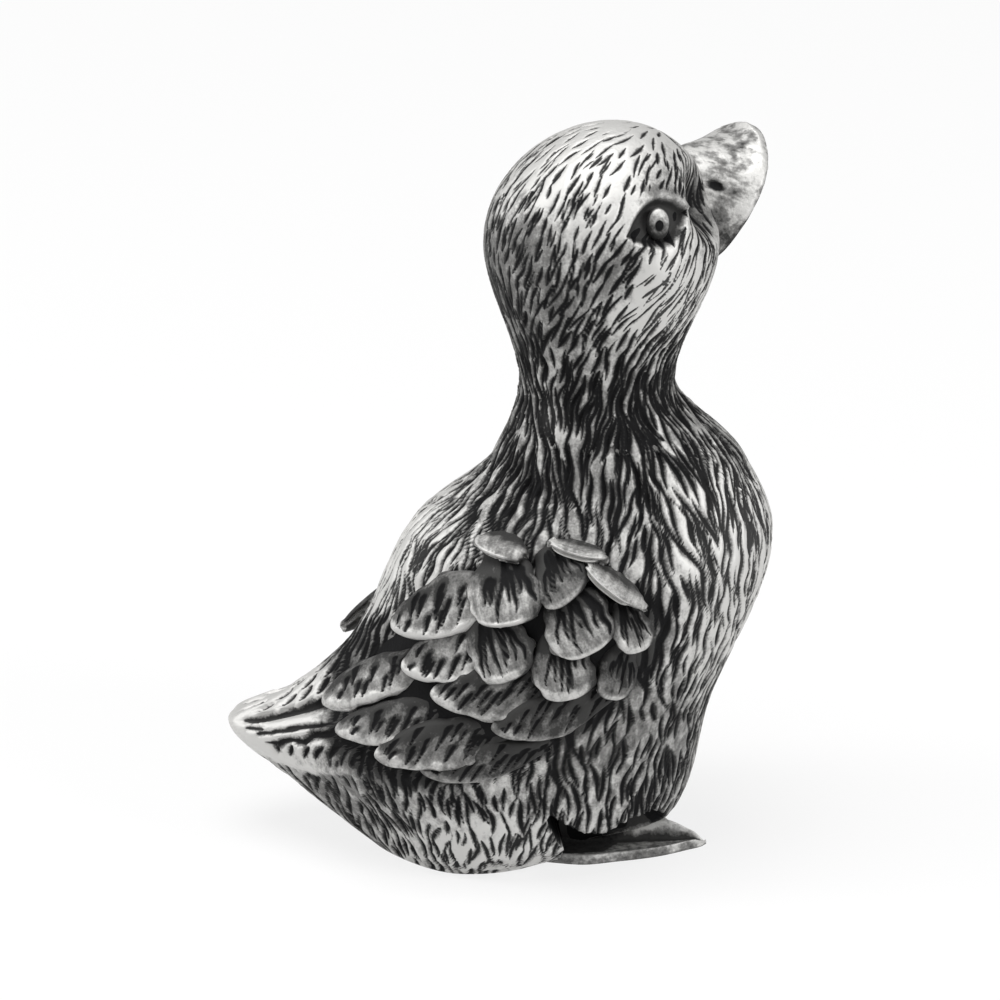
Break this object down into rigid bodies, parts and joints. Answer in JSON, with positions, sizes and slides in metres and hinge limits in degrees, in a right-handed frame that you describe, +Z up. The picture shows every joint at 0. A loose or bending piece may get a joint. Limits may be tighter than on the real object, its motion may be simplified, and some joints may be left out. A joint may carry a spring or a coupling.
{
  "type": "duck figurine",
  "caption": "Small cast pewter duckling that sits upright and turns its head up and to its left, with carved down, layered wing feathers, a flat underside and webbed feet.",
  "frame": {"origin": "on the table under the middle of the figurine's bounding box", "axes": "+Z is up from the table to the crown, +X is the way the breast faces, +Y is the duckling's left side"},
  "size_m": [0.0364, 0.0258, 0.051],
  "materials": {
    "feathered_pewter": "cast pewter with dark antiquing in the carved lines and worn bright ridges",
    "smooth_pewter": "cast pewter, smooth with fine pits",
    "dark_pewter": "antiqued pewter bead"
  },
  "bodies": {
    "root": {"body": "feathered_pewter", "head": "feathered_pewter", "upper_bill": "smooth_pewter", "lower_bill": "smooth_pewter", "right_eye": "dark_pewter", "left_eye": "dark_pewter", "right_wing": "feathered_pewter", "left_wing": "feathered_pewter", "right_foot": "smooth_pewter", "left_foot": "smooth_pewter"}
  },
  "joints": []
}
